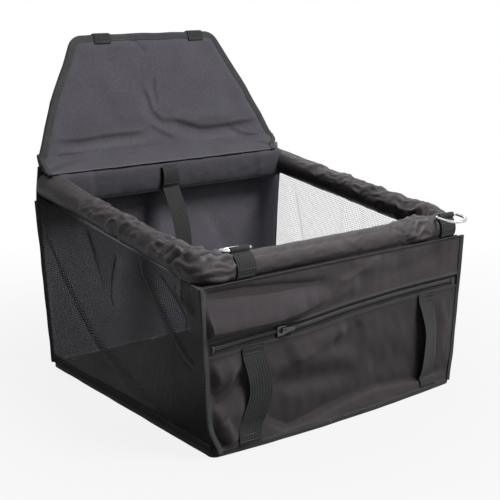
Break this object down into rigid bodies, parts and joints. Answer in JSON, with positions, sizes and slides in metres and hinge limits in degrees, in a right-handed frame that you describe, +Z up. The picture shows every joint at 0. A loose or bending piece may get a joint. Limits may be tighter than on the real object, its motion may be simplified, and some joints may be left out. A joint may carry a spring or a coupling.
{
  "type": "dog car seat",
  "caption": "Fold-flat dog car seat: cloth tub with net sides on a rim of plastic pipes, zipped front pocket, back flap, clip-on rings and a tether.",
  "frame": {"origin": "on the floor under the middle of the tub, on the underside of the base cloth", "axes": "+Z up, -Y towards the zipped front, +X to the right as seen from the front"},
  "size_m": [0.4082, 0.4399, 0.4321],
  "materials": {
    "front_cloth": "woven, matte",
    "flap_cloth": "woven, matte",
    "lining": "woven, matte",
    "binding": "ribbed tape",
    "webbing": "ribbed webbing",
    "sleeve_cloth": "coated, soft sheen",
    "net": "knitted net",
    "foam": "open foam",
    "pipe": "moulded",
    "board": "sheet",
    "zip": "moulded",
    "chrome": "polished",
    "nickel": "dark plated"
  },
  "bodies": {
    "root": {"base_binding": "binding", "base_cloth": "front_cloth", "base_board": "board", "base_liner": "lining", "front_upper_panel": "front_cloth", "pocket_face": "front_cloth", "front_lining": "lining", "back_panel": "flap_cloth", "left_net": "net", "right_net": "net", "front_left_seam": "binding", "front_right_seam": "binding", "rear_left_seam": "binding", "rear_right_seam": "binding", "front_sleeve": "sleeve_cloth", "left_sleeve": "sleeve_cloth", "right_sleeve": "sleeve_cloth", "rear_sleeve": "flap_cloth", "front_foam": "foam", "left_foam": "foam", "right_foam": "foam", "front_pipe": "pipe", "rear_pipe": "pipe", "left_pipe": "pipe", "right_pipe": "pipe", "front_left_elbow": "pipe", "front_right_elbow": "pipe", "rear_left_elbow": "pipe", "rear_right_elbow": "pipe", "zip_tape_upper": "zip", "zip_tape_lower": "zip", "zip_teeth_upper": "zip", "zip_teeth_lower": "zip", "zip_stop_left": "nickel", "zip_stop_right": "nickel", "front_strap_left": "webbing", "front_strap_right": "webbing", "ring_tab_left": "webbing", "ring_tab_right": "webbing", "tether_anchor": "webbing"},
    "backrest": {"backrest_face": "flap_cloth", "backrest_rear": "flap_cloth", "backrest_foam": "foam", "backrest_hem": "flap_cloth", "backrest_binding": "binding", "top_loop_left": "webbing", "top_loop_right": "webbing"},
    "zip_slider": {"zip_slider": "nickel", "zip_slider_back": "nickel"},
    "zip_pull": {"zip_pull": "nickel"},
    "ring_left": {"ring_left": "chrome"},
    "ring_right": {"ring_right": "chrome"},
    "tether": {"tether_strap": "webbing"},
    "hook_eye": {"hook_eye": "chrome"},
    "hook_body": {"hook_body": "chrome"},
    "hook_bolt": {"hook_bolt": "nickel"}
  },
  "joints": [
    {"name": "backrest_fold", "type": "hinge", "parent": "root", "child": "backrest", "pos_m": [0, 0.1809, 0.2725], "axis": [1, 0, 0], "range_deg": [-74, 110]},
    {"name": "zip_slide", "type": "slide", "parent": "root", "child": "zip_slider", "axis": [0.9993, 0, 0.0384], "range_m": [-0.081, 0.262]},
    {"name": "zip_pull_swing", "type": "hinge", "parent": "zip_slider", "child": "zip_pull", "pos_m": [-0.09143, -0.1821, 0.12569], "axis": [0.0384, 0, -0.9993], "range_deg": [0, 180]},
    {"name": "ring_left_swing", "type": "hinge", "parent": "root", "child": "ring_left", "pos_m": [-0.139, -0.16598, 0.22225], "axis": [1, 0, 0], "range_deg": [-5, 220]},
    {"name": "ring_right_swing", "type": "hinge", "parent": "root", "child": "ring_right", "pos_m": [0.172, -0.174, 0.21892], "axis": [1, 0, 0], "range_deg": [-168, 52]},
    {"name": "tether_swing", "type": "hinge", "parent": "root", "child": "tether", "pos_m": [-0.018, 0.14725, 0.22839], "axis": [1, 0, 0], "range_deg": [-92, 6]},
    {"name": "hook_swing", "type": "hinge", "parent": "tether", "child": "hook_eye", "pos_m": [-0.018, 0.11725, 0.11839], "axis": [1, 0, 0], "range_deg": [-75, 75]},
    {"name": "hook_swivel", "type": "hinge", "parent": "hook_eye", "child": "hook_body", "pos_m": [-0.018, 0.11725, 0.10989], "axis": [0, 0, 1], "continuous": true},
    {"name": "bolt_slide", "type": "slide", "parent": "hook_body", "child": "hook_bolt", "axis": [0, 0, 1], "range_m": [0, 0.0065], "stiffness_N_per_m": 120, "springref_m": -0.008}
  ]
}
